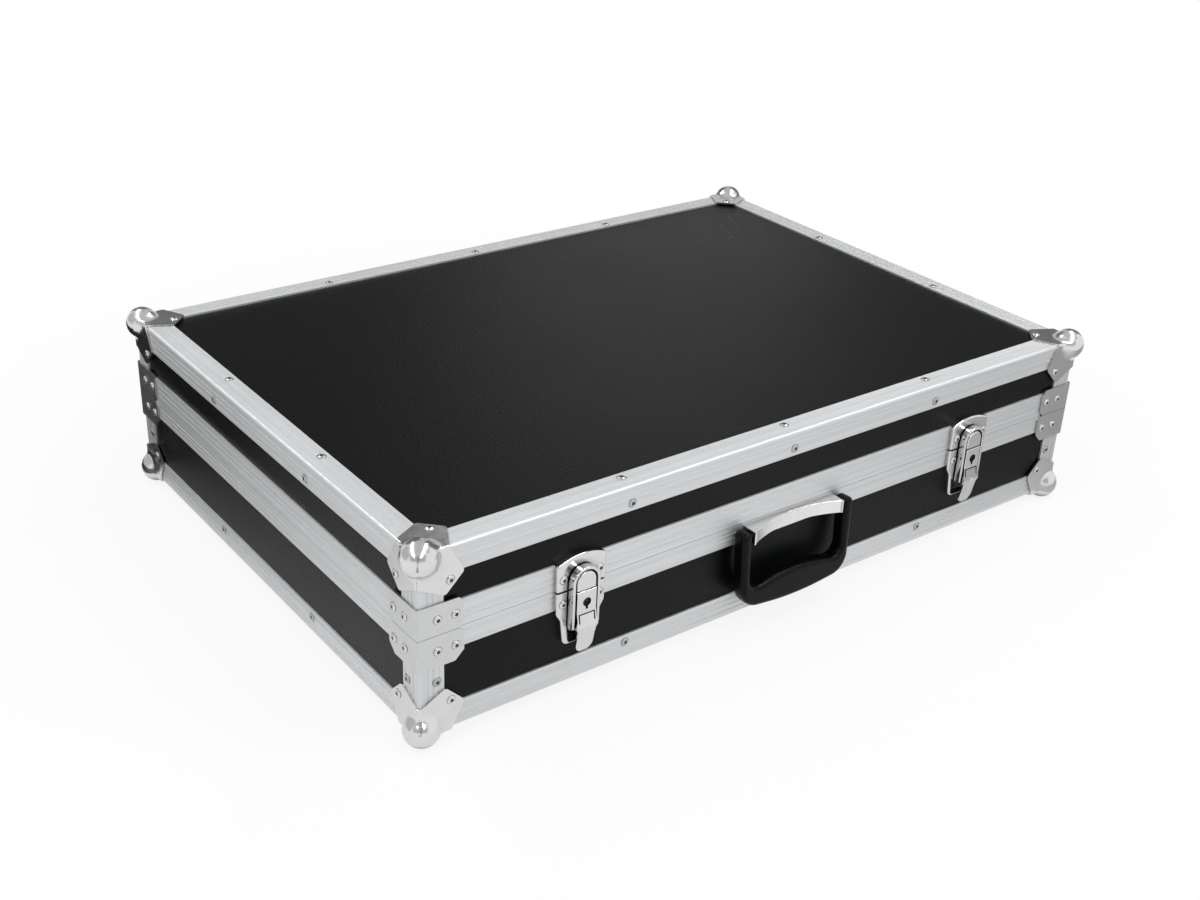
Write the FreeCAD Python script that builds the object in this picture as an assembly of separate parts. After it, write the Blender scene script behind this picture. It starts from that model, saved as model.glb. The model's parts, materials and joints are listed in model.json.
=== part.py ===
import FreeCAD, Part
import math
import os

# A shallow flight case: laminated panels in an aluminium frame, ball corners, two toggle latches with locks,
# a drop handle, two rear stop hinges and a foam lining.
# Frame: X along the long side, front (latches and handle) towards -Y, Z up. The origin lies on the floor
# under the middle of the case, so the four lower ball corners touch Z = 0. All lengths are in millimetres.

# Case over its aluminium edges
case_length = 660.0
case_depth = 460.0
base_height = 80.35
lid_height = 64.35
seam_gap = 0.3
panel_thickness = 7.0

# Aluminium edge angles and rims
profile_sheet = 1.5
edge_flange = 20.0
arris_radius = 2.0
groove_width = 1.6
groove_depth = 0.25
groove_shares = (0.32, 0.56, 0.8)
base_rim_height = 16.0
base_rim_inner_height = 12.5
lid_rim_height = 21.0
lid_rim_inner_height = 17.5
tongue_width = 3.5
tongue_height = 4.0
tongue_clearance = 0.5

# Ball corners
ball_radius = 13.5
ball_inset = 4.5
ball_fillet = 8.0
corner_sheet = 1.5
corner_bend_radius = 2.0
corner_neck = 24.0
corner_reach = 35.5
corner_shoulder = 20.5
corner_round = 3.0
corner_rivet_place = 24.5

# Corner braces over the seam
brace_sheet = 1.5
brace_reach = 35.0
base_brace_height = 25.0
lid_brace_height = 24.0
brace_tip_cut = 4.0
brace_foot_cut = 7.0
brace_bend_radius = 1.2
brace_rivet_near = 14.3
brace_rivet_far = 28.5

# Rivets
rivet_radius = 3.6
rivet_height = 1.4
rivet_crown_share = 0.55
rivet_sides = 10
edge_rivet_inset = 14.0
long_edge_rivet_end = 175.0
short_edge_rivet_end = 154.0
post_rivet_inset = 14.5
post_rivet_share = 0.33
seat_clearance = 0.3

# Foam lining
floor_foam = 15.0
wall_foam = 10.0
lid_foam = 25.0
foam_clearance = 0.3

# Toggle latches, heights measured from the seam
latch_end_inset = 130.0
latch_sheet = 1.2
latch_edge_gap = 0.8
tray_depth = 4.0
plate_half_width = 21.0
plate_shoulder_drop = 18.0
plate_waist_half_width = 17.0
plate_waist_drop = 24.5
plate_foot_half_width = 14.5
plate_drop = 45.5
plate_shoulder_radius = 5.0
plate_foot_radius = 5.0
plate_edge_radius = 1.6
keeper_shoulder_rise = 21.5
keeper_shoulder_radius = 2.5
keeper_apex_rise = 29.0
keeper_crown_radius = 46.0
boss_base = 0.7
boss_undercut = 4.5
boss_rise = 15.0
boss_proud = 10.4
boss_edge_radius = 1.2
lever_half_width = 8.3
lever_proud = 11.0
lever_top_drop = 0.2
lever_edge_radius = 0.6
lever_break_drop = 18.4
lever_cheek_drop = 31.0
tab_slit = 0.9
tab_slot_width = 1.1
tab_slot_drop = 25.5
tab_wing_drop = 24.0
tab_crest_drop = 29.0
tab_crest_proud = 13.0
tab_crest_half_width = 9.2
tab_shoulder = 4.5
tab_tongue_half_width = 7.4
tab_end_drop = 52.0
tab_end_proud = 8.5
tab_bend_radius = 4.0
tab_trough_radius = 7.0
tab_trough_depth = 0.7
bail_band = 2.4
bail_gap = 1.1
bail_back_gap = 1.0
bail_proud = 10.6
bail_edge_radius = 0.8
bail_leg_drop = 31.0
bail_leg_radius = 2.8
latch_pin_radius = 1.1
pin_clearance = 0.1
pivot_drop = 3.4
pivot_setback = 2.2
pivot_ear_radius = 1.9
ear_gap = 0.6
bail_pin_drop = 27.0
bail_pin_setback = 2.6
cheek_back_gap = 1.8
cheek_top_cut = 1.8
keyhole_drop = 9.5
keyhole_radius = 3.5
keyhole_slot_width = 2.0
keyhole_slot_drop = 15.3
lock_radius = 4.0
lock_length = 4.4
lock_gap = 0.3
keyway_width = 1.2
cam_length = 5.4
cam_half_width = 1.8
cam_sheet = 1.0
plate_rivet_drop = 10.2
keeper_rivet_rise = 9.8
round_share = 0.98
keyway_reach_share = 0.75

# Drop handle, heights measured from the seam
bracket_half_width = 46.0
bracket_sheet = 1.5
bracket_top_drop = 2.0
bracket_fold_radius = 0.8
bracket_end_proud = 14.0
bracket_waist_proud = 3.5
bracket_lip_height = 10.5
bracket_back_height = 13.5
bracket_rivet_place = 34.0
grip_half_width = 57.5
grip_foot_half_width = 55.0
grip_arm_width = 9.5
grip_thickness = 13.5
grip_top_rise = 6.2
grip_inner_drop = 45.0
grip_inner_crown = 10.5
grip_corner_drop = 58.0
grip_bulge = 6.0
grip_outer_radius = 18.0
grip_inner_radius = 9.0
grip_bulge_radius = 260.0
grip_crown_radius = 150.0
grip_edge_radius = 3.8
grip_rest_angle = 3.0
grip_pivot_drop = 8.0
grip_pivot_proud = 8.0
grip_pin_radius = 2.4
grip_pin_depth = 6.0
grip_pin_head = 0.7
arm_inner_round_share = 0.42
arm_outer_round_share = 0.5

# Rear stop hinges, heights measured from the seam
hinge_end_inset = 130.0
hinge_width = 70.0
hinge_sheet = 1.5
base_leaf_height = 14.5
lid_leaf_height = 19.0
knuckle_radius = 3.6
knuckle_count = 5
knuckle_gap = 0.4
hinge_pin_radius = 2.0
hinge_setoff = 0.2
leaf_relief = 3.6
stop_angle = 51.0
stop_near = 5.0
stop_far = 11.0
stop_foot = 13.5
leaf_rivet_place = 24.0
base_leaf_rivet_drop = 9.6
lid_leaf_rivet_rise = 12.0

overrun = 5.0
touch_tolerance = 0.01
quarter_turn = 90.0

# Levels and widths that follow from the driving sizes
z_bottom = ball_radius - ball_inset
z_base_top = z_bottom + base_height
z_seam = z_base_top + seam_gap / 2
z_lid_bottom = z_base_top + seam_gap
z_top = z_lid_bottom + lid_height
shell = profile_sheet + panel_thickness
rim_width = panel_thickness + 2 * profile_sheet
long_edge_rivet_place = case_length / 2 - long_edge_rivet_end
short_edge_rivet_place = case_depth / 2 - short_edge_rivet_end
base_brace_foot = base_height - base_brace_height
post_rivet_height = corner_reach + post_rivet_share * (base_brace_foot - corner_reach)
latch_offset = case_length / 2 - latch_end_inset
hinge_offset = case_length / 2 - hinge_end_inset
tongue_recess = tongue_height + tongue_clearance
bail_inner = lever_half_width + bail_gap
bail_outer = bail_inner + bail_band
bail_back = tray_depth + bail_back_gap
plate_rivet_place = bail_outer + seat_clearance + rivet_radius
lever_inner = lever_proud - latch_sheet
pivot_proud = lever_inner - pivot_setback
bail_pin_proud = lever_inner - bail_pin_setback
cheek_back = tray_depth + cheek_back_gap
ear_outer = lever_half_width - latch_sheet - ear_gap
hinge_axis_proud = knuckle_radius + hinge_setoff

ORIGIN = FreeCAD.Vector(0, 0, 0)
X_AXIS = FreeCAD.Vector(1, 0, 0)
Y_AXIS = FreeCAD.Vector(0, 1, 0)
Z_AXIS = FreeCAD.Vector(0, 0, 1)
# Drawing planes: FLAT is x, y; FRONT is x, z and grows towards -Y; SIDE is y, z and grows towards +X
FLAT = FreeCAD.Placement()
FRONT = FreeCAD.Placement(ORIGIN, FreeCAD.Rotation(X_AXIS, quarter_turn))
SIDE = FreeCAD.Placement(ORIGIN, FreeCAD.Rotation(Y_AXIS, Z_AXIS, X_AXIS, "ZXY"))


def rounding(before, corner, after, radius):
    """Start, middle and end of the arc that rounds a corner between two straight sides."""
    back = (before - corner).normalize()
    ahead = (after - corner).normalize()
    half = back.getAngle(ahead) / 2
    inward = (back + ahead).normalize()
    reach = radius / math.tan(half)
    middle = corner + inward * (radius / math.sin(half) - radius)
    return corner + back * reach, middle, corner + ahead * reach


def outline(corners):
    """Flat face through (a, b) corners; a third number is the radius that rounds that corner."""
    points = [FreeCAD.Vector(corner[0], corner[1], 0) for corner in corners]
    count = len(points)
    turns = []
    for index, corner in enumerate(corners):
        point = points[index]
        if len(corner) == 3:
            turns.append(rounding(points[index - 1], point, points[(index + 1) % count], corner[2]))
        else:
            turns.append((point, point, point))
    edges = []
    for index, (start, middle, end) in enumerate(turns):
        if len(corners[index]) == 3:
            edges.append(Part.Arc(start, middle, end).toShape())
        following = turns[(index + 1) % count][0]
        if not end.isEqual(following, Part.Vertex(end).Tolerance):
            edges.append(Part.LineSegment(end, following).toShape())
    return Part.Face(Part.Wire(edges))


def prism(corners, plane, start, end):
    """An outline on a drawing plane, grown from start to end along the plane's normal."""
    solid = outline(corners).extrude(FreeCAD.Vector(0, 0, end - start))
    solid.Placement = plane * FreeCAD.Placement(FreeCAD.Vector(0, 0, start), FreeCAD.Rotation())
    return solid


def block(x_range, y_range, z_range):
    """A plain box between two limits on each axis."""
    low = FreeCAD.Vector(x_range[0], y_range[0], z_range[0])
    size = [limits[1] - limits[0] for limits in (x_range, y_range, z_range)]
    return Part.makeBox(size[0], size[1], size[2], low)


def rod(radius, start, end):
    """A round bar between two points."""
    return Part.makeCylinder(radius, (end - start).Length, start, end - start)


def cross_rod(radius, half_length, proud, height):
    """A round bar along X on the front hardware, proud of the face and at a height from the seam."""
    start = FreeCAD.Vector(-half_length, -proud, height)
    return rod(radius, start, FreeCAD.Vector(half_length, -proud, height))


def mirrored_pair(corners):
    """Right-hand corners, listed downwards, joined with their mirror images into a closed outline."""
    left = [(-corner[0],) + tuple(corner[1:]) for corner in reversed(corners)]
    return list(corners) + left


def to_level(shape, upper):
    """Move a shape drawn from the lower arris upwards to the base, or turned over to the lid."""
    if upper:
        moved = shape.mirror(ORIGIN, Z_AXIS)
        moved.translate(FreeCAD.Vector(0, 0, z_top))
        return moved
    moved = shape.copy()
    moved.translate(FreeCAD.Vector(0, 0, z_bottom))
    return moved


def to_side(shape, side, upper):
    """Move a shape drawn at a lower edge, x along it and y inwards, to one side of the base or lid."""
    moved = shape.copy()
    if side in ("left", "right"):
        moved.rotate(ORIGIN, Z_AXIS, -quarter_turn)
        moved.translate(FreeCAD.Vector(-case_length / 2, 0, 0))
    else:
        moved.translate(FreeCAD.Vector(0, -case_depth / 2, 0))
    if side == "right":
        moved = moved.mirror(ORIGIN, X_AXIS)
    if side == "rear":
        moved = moved.mirror(ORIGIN, Y_AXIS)
    return to_level(moved, upper)


def to_corners(shape, upper):
    """Copies of a shape, drawn with its axes inwards from a corner, at the base's or lid's four corners."""
    first = shape.copy()
    first.translate(FreeCAD.Vector(-case_length / 2, -case_depth / 2, 0))
    first = to_level(first, upper)
    right = first.mirror(ORIGIN, X_AXIS)
    return [first, right, first.mirror(ORIGIN, Y_AXIS), right.mirror(ORIGIN, Y_AXIS)]


def to_front(shape, x):
    """Move hardware drawn at the seam onto the front face."""
    moved = shape.copy()
    moved.translate(FreeCAD.Vector(x, -case_depth / 2, z_seam))
    return moved


def to_rear(shape, x):
    """Move hardware drawn at the seam onto the rear face, turned over."""
    moved = shape.mirror(ORIGIN, Y_AXIS)
    moved.translate(FreeCAD.Vector(x, case_depth / 2, z_seam))
    return moved


def save(name, shapes):
    """Write one node; a list becomes a group of separate solids."""
    solids = [solid for shape in shapes for solid in shape.Solids]
    whole = solids[0] if len(solids) == 1 else Part.makeCompound(solids)
    whole.exportStep(os.path.join("parts", name + ".step"))
    print(name, len(solids), "solids", round(sum(solid.Volume for solid in solids)), "mm3")


def rivet(point, normal):
    """A low rivet head seated at a point."""
    rings = []
    for radius, height in ((rivet_radius, 0), (rivet_radius * rivet_crown_share, rivet_height)):
        turns = [2 * math.pi * index / rivet_sides for index in range(rivet_sides)]
        ring = [FreeCAD.Vector(radius * math.cos(turn), radius * math.sin(turn), height) for turn in turns]
        rings.append(Part.makePolygon(ring + ring[:1]))
    head = Part.makeLoft(rings, True, True)
    head.Placement = FreeCAD.Placement(point, FreeCAD.Rotation(Z_AXIS, normal))
    return head


def front_rivets(places, proud):
    """Rivets on the front hardware at (x, height) places."""
    return [rivet(FreeCAD.Vector(x, -proud, height), -Y_AXIS) for x, height in places]


def front_edges(shape, proud, open_level):
    """Edges round the front face of pressed hardware, apart from those along its open end."""
    edges = []
    for edge in shape.Edges:
        ends = [vertex.Point for vertex in edge.Vertexes]
        on_face = all(abs(end.y + proud) < touch_tolerance for end in ends)
        at_open_end = all(abs(end.z - open_level) < touch_tolerance for end in ends)
        if on_face and not at_open_end:
            edges.append(edge)
    return edges


# Panels


def panels(upper):
    """Floor or top panel and the four walls, drawn upwards from the lower arris."""
    height = lid_height - tongue_recess - profile_sheet if upper else base_height - profile_sheet
    half_length = case_length / 2 - profile_sheet
    half_depth = case_depth / 2 - profile_sheet
    wall_inside = half_depth - panel_thickness
    side_inside = half_length - panel_thickness
    wall_range = (shell, height)
    drawn = {
        "main": block((-half_length, half_length), (-half_depth, half_depth), (profile_sheet, shell)),
        "front": block((-half_length, half_length), (-half_depth, -wall_inside), wall_range),
        "rear": block((-half_length, half_length), (wall_inside, half_depth), wall_range),
        "left": block((-half_length, -side_inside), (-wall_inside, wall_inside), wall_range),
        "right": block((side_inside, half_length), (-wall_inside, wall_inside), wall_range),
    }
    return {name: to_level(shape, upper) for name, shape in drawn.items()}


# Aluminium frame


def flange_grooves(width):
    """Corners of the shallow grooves across a flange, outwards face at b = 0."""
    corners = []
    for share in groove_shares:
        near = share * width - groove_width / 2
        far = near + groove_width
        corners += [(near, 0), (near, groove_depth), (far, groove_depth), (far, 0)]
    return corners


def angle_section():
    """Section of an edge angle with its rounded arris at zero and both flanges inwards."""
    lower = flange_grooves(edge_flange)
    upright = [(b, a) for a, b in reversed(lower)]
    ends = [(edge_flange, 0), (edge_flange, profile_sheet), (profile_sheet, profile_sheet)]
    ends += [(profile_sheet, edge_flange), (0, edge_flange)]
    return [(0, 0, arris_radius)] + lower + ends + upright


def mitre(span, depth):
    """Outline with 45 degree ends that trims a rail of this span."""
    reach = depth + overrun
    right = [(span / 2 + overrun, -overrun), (span / 2 - reach, reach)]
    return mirrored_pair(right)


def edge_rail(span):
    """One edge angle, mitred on both flanges."""
    bar = prism(angle_section(), SIDE, -span / 2, span / 2)
    trim = mitre(span, edge_flange)
    flat = prism(trim, FLAT, -overrun, edge_flange + overrun)
    tall = prism(trim, FRONT, -edge_flange - overrun, overrun)
    return bar.common(flat).common(tall)


def corner_post(height):
    """One vertical corner angle, mitred where it meets the two edge angles."""
    bar = prism(angle_section(), FLAT, 0, height)
    reach = edge_flange + overrun
    trim = [(-overrun, -overrun), (reach, reach), (reach, height + overrun), (-overrun, height + overrun)]
    front = prism(trim, FRONT, -reach, overrun)
    side = prism(trim, SIDE, -overrun, reach)
    return bar.common(front).common(side)


def rim_grooves(height, free_edge):
    """Shallow grooves down the outer face of a rim, from its free edge."""
    corners = []
    for share in groove_shares:
        near = free_edge - share * height + groove_width / 2
        far = near - groove_width
        corners += [(0, near), (groove_depth, near), (groove_depth, far), (0, far)]
    return corners


def base_rim_section():
    """Channel over the base wall's edge with a tongue along its top."""
    top = base_height
    inner = rim_width - profile_sheet
    tongue_start = (rim_width - tongue_width) / 2
    tongue_end = tongue_start + tongue_width
    outer_foot = top - base_rim_height
    inner_foot = top - base_rim_inner_height
    corners = [(0, outer_foot), (profile_sheet, outer_foot), (profile_sheet, top - profile_sheet)]
    corners += [(inner, top - profile_sheet), (inner, inner_foot), (rim_width, inner_foot), (rim_width, top)]
    corners += [(tongue_end, top), (tongue_end, top + tongue_height), (tongue_start, top + tongue_height)]
    return corners + [(tongue_start, top), (0, top)] + rim_grooves(base_rim_height, top)


def lid_rim_section():
    """Channel over the lid wall's edge with a recess for the base's tongue, measured from the top arris."""
    free_edge = lid_height
    inner = rim_width - profile_sheet
    recess = free_edge - tongue_recess
    outer_foot = free_edge - lid_rim_height
    inner_foot = free_edge - lid_rim_inner_height
    corners = [(0, outer_foot), (profile_sheet, outer_foot), (profile_sheet, recess - profile_sheet)]
    corners += [(inner, recess - profile_sheet), (inner, inner_foot), (rim_width, inner_foot)]
    corners += [(rim_width, free_edge), (inner, free_edge), (inner, recess), (profile_sheet, recess)]
    corners += [(profile_sheet, free_edge), (0, free_edge)]
    return corners + rim_grooves(lid_rim_height, free_edge)


def rim_rail(section, span):
    """One rim, mitred at its ends."""
    bar = prism(section, SIDE, -span / 2, span / 2)
    height = max(corner[1] for corner in section)
    return bar.common(prism(mitre(span, rim_width), FLAT, -overrun, height + overrun))


def spans():
    """Each side of the case with the length of its edges."""
    return {"front": case_length, "rear": case_length, "left": case_depth, "right": case_depth}


def edge_rivets(side, upper):
    """Rivets on both flanges of one edge angle."""
    places = [-short_edge_rivet_place, short_edge_rivet_place]
    if side in ("front", "rear"):
        places = [-long_edge_rivet_place, 0, long_edge_rivet_place]
    heads = []
    for x in places:
        heads.append(rivet(FreeCAD.Vector(x, edge_rivet_inset, 0), -Z_AXIS))
        heads.append(rivet(FreeCAD.Vector(x, 0, edge_rivet_inset), -Y_AXIS))
    return [to_side(head, side, upper) for head in heads]


# Ball corners and braces


def ball_corner():
    """Three riveted plates folded over a corner of the frame and drawn out into a ball."""
    plate = [(-corner_sheet, -corner_sheet), (corner_neck, -corner_sheet)]
    plate += [(corner_reach, corner_shoulder, corner_round), (corner_shoulder, corner_reach, corner_round)]
    plate += [(-corner_sheet, corner_neck)]
    under = prism(plate, FLAT, -corner_sheet, 0)
    front = prism(plate, FRONT, 0, corner_sheet)
    side = prism(plate, SIDE, -corner_sheet, 0)
    folded = under.fuse(front).fuse(side).removeSplitter()
    folds = [edge for edge in folded.Edges if all(is_on_fold(vertex.Point) for vertex in edge.Vertexes)]
    folded = folded.makeFillet(corner_bend_radius, folds)
    centre = FreeCAD.Vector(ball_inset, ball_inset, ball_inset)
    whole = folded.fuse(Part.makeSphere(ball_radius, centre)).removeSplitter()
    whole = whole.makeFillet(ball_fillet, ball_necks(whole))
    reach = (0, corner_reach + overrun)
    return whole.cut(block(reach, reach, reach))


def is_on_fold(point):
    """True where the outer faces of two of a corner's plates meet."""
    return sorted((point.x, point.y, point.z))[1] < touch_tolerance - corner_sheet


def ball_necks(whole):
    """Edges where the ball meets the outside of the plates."""
    necks = []
    for edge in whole.Edges:
        on_ball = [isinstance(face.Surface, Part.Sphere) for face in whole.ancestorsOfType(edge, Part.Face)]
        ends = [vertex.Point for vertex in edge.Vertexes]
        outside = all(min(end.x, end.y, end.z) < -touch_tolerance for end in ends)
        if outside and sorted(on_ball) == [False, True]:
            necks.append(edge)
    return necks


def corner_brace(edge, height, foot_cut):
    """Bent plate round a vertical corner, from the seam edge back towards the outer arris."""
    low = edge - height
    tip = [(brace_reach - foot_cut, low), (brace_reach, low + foot_cut)]
    tip += [(brace_reach, edge - brace_tip_cut), (brace_reach - brace_tip_cut, edge)]
    leg = [(-brace_sheet, edge), (-brace_sheet, low)] + tip
    bent = prism(leg, FRONT, 0, brace_sheet).fuse(prism(leg, SIDE, -brace_sheet, 0)).removeSplitter()
    bends = []
    for line in bent.Edges:
        ends = [vertex.Point for vertex in line.Vertexes]
        if all(max(point.x, point.y) < -brace_sheet / 2 for point in ends):
            bends.append(line)
    return bent.makeFillet(brace_bend_radius, bends)


def corner_rivets(upper):
    """Rivets of one corner: ball corner plates, brace legs and, on the base, the post."""
    seat = -corner_sheet
    place = corner_rivet_place
    heads = [
        rivet(FreeCAD.Vector(place, place, seat), -Z_AXIS),
        rivet(FreeCAD.Vector(place, seat, place), -Y_AXIS),
        rivet(FreeCAD.Vector(seat, place, place), -X_AXIS),
    ]
    level = lid_height - lid_brace_height / 2 if upper else base_height - base_brace_height / 2
    for reach in (brace_rivet_near, brace_rivet_far):
        heads.append(rivet(FreeCAD.Vector(reach, -brace_sheet, level), -Y_AXIS))
        heads.append(rivet(FreeCAD.Vector(-brace_sheet, reach, level), -X_AXIS))
    if not upper:
        heads.append(rivet(FreeCAD.Vector(post_rivet_inset, 0, post_rivet_height), -Y_AXIS))
        heads.append(rivet(FreeCAD.Vector(0, post_rivet_inset, post_rivet_height), -X_AXIS))
    return [copy for head in heads for copy in to_corners(head, upper)]


# Foam lining


def base_foam():
    """Floor pad and the four wall pads that stand round it."""
    inside_x = case_length / 2 - shell
    inside_y = case_depth / 2 - shell
    pad_x = inside_x - wall_foam
    pad_y = inside_y - wall_foam
    floor = z_bottom + shell
    tall = (floor, z_base_top - base_rim_inner_height - foam_clearance)
    walls = [
        block((-inside_x, inside_x), (-inside_y, -pad_y), tall),
        block((-inside_x, inside_x), (pad_y, inside_y), tall),
        block((-inside_x, -pad_x), (-pad_y, pad_y), tall),
        block((pad_x, inside_x), (-pad_y, pad_y), tall),
    ]
    return block((-pad_x, pad_x), (-pad_y, pad_y), (floor, floor + floor_foam)), walls


def lid_pad():
    """Pad that fills the lid from wall to wall."""
    inside_x = case_length / 2 - shell
    inside_y = case_depth / 2 - shell
    ceiling = z_top - shell
    return block((-inside_x, inside_x), (-inside_y, inside_y), (ceiling - lid_foam, ceiling))


# Toggle latches, drawn at the seam with the front face at y = 0


def tray(outer, inner, flange_range):
    """Pressed plate with turned-back edges, relieved where it lies over a rim's outer flange."""
    body = outer.cut(inner)
    relief = block((-case_length, case_length), (0, profile_sheet + overrun), flange_range)
    return body.cut(relief)


def tongue(half_width, bottom, top, start, end):
    """Upright plate with a round top."""
    right = [(half_width, top, half_width * round_share), (half_width, bottom)]
    return prism(mirrored_pair(right), FRONT, start, end)


def keeper_outline(inset, bottom):
    """Crowned outline of a latch's keeper, drawn in by an inset."""
    half_width = plate_half_width - inset
    shoulder = keeper_shoulder_rise - inset
    crown = (0, keeper_apex_rise - inset, keeper_crown_radius - inset)
    right = [(half_width, shoulder, keeper_shoulder_radius - inset), (half_width, bottom)]
    return [crown] + mirrored_pair(right)


def latch_keeper():
    """Lid plate of a latch with the hollow boss that the bail hooks over."""
    outer = prism(keeper_outline(0, latch_edge_gap), FRONT, -profile_sheet, tray_depth)
    outer = outer.makeFillet(plate_edge_radius, front_edges(outer, tray_depth, latch_edge_gap))
    root = tray_depth - latch_sheet
    inner = prism(keeper_outline(latch_sheet, -overrun), FRONT, -profile_sheet - overrun, root)
    plate = tray(outer, inner, (-overrun, seam_gap / 2 + lid_rim_height))
    boss = tongue(lever_half_width, boss_base, boss_rise, root, boss_proud)
    boss = boss.makeFillet(boss_edge_radius, front_edges(boss, boss_proud, boss_base))
    hollow = tongue(lever_half_width - latch_sheet, boss_base - overrun, boss_rise - latch_sheet,
                    -profile_sheet, boss_proud - latch_sheet)
    below = [(-boss_proud, boss_base), (-boss_proud, boss_base - overrun), (-root, boss_base - overrun)]
    undercut = prism(below + [(-root, boss_base + boss_undercut)], SIDE, -lever_half_width, lever_half_width)
    return plate.fuse(boss.cut(undercut)).cut(hollow).removeSplitter()


def plate_outline(inset, top):
    """Outline of a latch's base plate, drawn in by an inset."""
    right = [
        (plate_half_width - inset, top),
        (plate_half_width - inset, -plate_shoulder_drop, plate_shoulder_radius - inset),
        (plate_waist_half_width - inset, -plate_waist_drop, plate_shoulder_radius + inset),
        (plate_foot_half_width - inset, -plate_drop + inset, plate_foot_radius - inset),
    ]
    return mirrored_pair(right)


def latch_base_plate():
    """Base plate of a latch with two ears for the lever's pivot."""
    outer = prism(plate_outline(0, -latch_edge_gap), FRONT, -profile_sheet, tray_depth)
    outer = outer.makeFillet(plate_edge_radius, front_edges(outer, tray_depth, -latch_edge_gap))
    root = tray_depth - latch_sheet
    inner = prism(plate_outline(latch_sheet, overrun), FRONT, -profile_sheet - overrun, root)
    plate = tray(outer, inner, (-seam_gap / 2 - base_rim_height, overrun))
    for side in (-1, 1):
        limits = sorted((side * ear_outer, side * (ear_outer - latch_sheet)))
        neck = block(limits, (-pivot_proud, -root),
                     (-pivot_drop - pivot_ear_radius, -pivot_drop + pivot_ear_radius))
        eye = rod(pivot_ear_radius, FreeCAD.Vector(limits[0], -pivot_proud, -pivot_drop),
                  FreeCAD.Vector(limits[1], -pivot_proud, -pivot_drop))
        plate = plate.fuse(neck).fuse(eye)
    bore = cross_rod(latch_pin_radius + pin_clearance, plate_half_width, pivot_proud, -pivot_drop)
    return plate.cut(bore).removeSplitter()


def lever_profile():
    """Side view of the lever's face and finger tab, as (y, height) corners down the outside and back."""
    outside = [
        (-lever_proud, -lever_top_drop),
        (-lever_proud, -lever_break_drop),
        (-tab_crest_proud, -tab_crest_drop, tab_bend_radius),
        (-tab_end_proud, -tab_end_drop),
    ]
    inside = [(corner[0] + latch_sheet,) + tuple(corner[1:]) for corner in reversed(outside)]
    return outside + inside


def tab_slot():
    """Slit over the finger tab and the slots down both of its sides."""
    outer = lever_half_width - latch_sheet
    inner = outer - tab_slot_width
    through = (-tab_crest_proud - overrun, -cheek_back)
    slot = block((-outer, outer), through, (-tab_slot_drop, -lever_break_drop))
    return slot.cut(block((-inner, inner), through, (-tab_slot_drop, -lever_break_drop - tab_slit)))


def tab_trough():
    """Round bar that presses a shallow finger trough down the tab's tongue."""
    crest = FreeCAD.Vector(0, -tab_crest_proud, -tab_crest_drop)
    end = FreeCAD.Vector(0, -tab_end_proud, -tab_end_drop)
    along = (end - crest).normalize()
    outwards = along.cross(X_AXIS)
    lift = outwards * (tab_trough_radius - tab_trough_depth)
    return rod(tab_trough_radius, crest + lift - along * overrun, end + lift + along * overrun)


def latch_lever():
    """Lever with a keyhole in its face, two cheeks for the pins and a finger tab struck out below a slit."""
    face = prism(lever_profile(), SIDE, -plate_half_width, plate_half_width)
    right = [
        (lever_half_width, -lever_top_drop),
        (lever_half_width, -tab_wing_drop),
        (tab_crest_half_width, -tab_crest_drop),
        (tab_tongue_half_width, -tab_crest_drop - tab_shoulder),
        (tab_tongue_half_width, -tab_end_drop, tab_tongue_half_width * round_share),
    ]
    lever = face.common(prism(mirrored_pair(right), FRONT, -overrun, tab_crest_proud + overrun))
    lever = lever.makeFillet(lever_edge_radius, front_edges(lever, lever_proud, -lever_break_drop))
    middle = -lever_inner - latch_sheet / 2
    crest = latch_sheet / 2 - tab_crest_proud
    slope = (tab_crest_proud - tab_end_proud) / (tab_end_drop - tab_crest_drop)
    foot = crest + slope * (lever_cheek_drop - tab_crest_drop)
    cheek = [
        (middle, -lever_top_drop),
        (-cheek_back - cheek_top_cut, -lever_top_drop),
        (-cheek_back, -lever_top_drop - cheek_top_cut),
        (-cheek_back, -lever_cheek_drop + cheek_top_cut),
        (-cheek_back - cheek_top_cut, -lever_cheek_drop),
        (foot, -lever_cheek_drop),
        (crest, -tab_crest_drop),
        (middle, -lever_break_drop),
    ]
    for side in (-1, 1):
        limits = sorted((side * lever_half_width, side * (lever_half_width - latch_sheet)))
        lever = lever.fuse(prism(cheek, SIDE, limits[0], limits[1]))
    lever = lever.cut(tab_slot()).cut(tab_trough())
    hole_start = FreeCAD.Vector(0, 0, -keyhole_drop)
    hole_end = FreeCAD.Vector(0, -lever_proud - overrun, -keyhole_drop)
    slot = block((-keyhole_slot_width / 2, keyhole_slot_width / 2), (-lever_proud - overrun, 0),
                 (-keyhole_slot_drop, -keyhole_drop))
    lever = lever.cut(rod(keyhole_radius, hole_start, hole_end)).cut(slot)
    bore = latch_pin_radius + pin_clearance
    lever = lever.cut(cross_rod(bore, plate_half_width, pivot_proud, -pivot_drop))
    lever = lever.cut(cross_rod(bore, plate_half_width, bail_pin_proud, -bail_pin_drop))
    return lever.removeSplitter()


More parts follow.
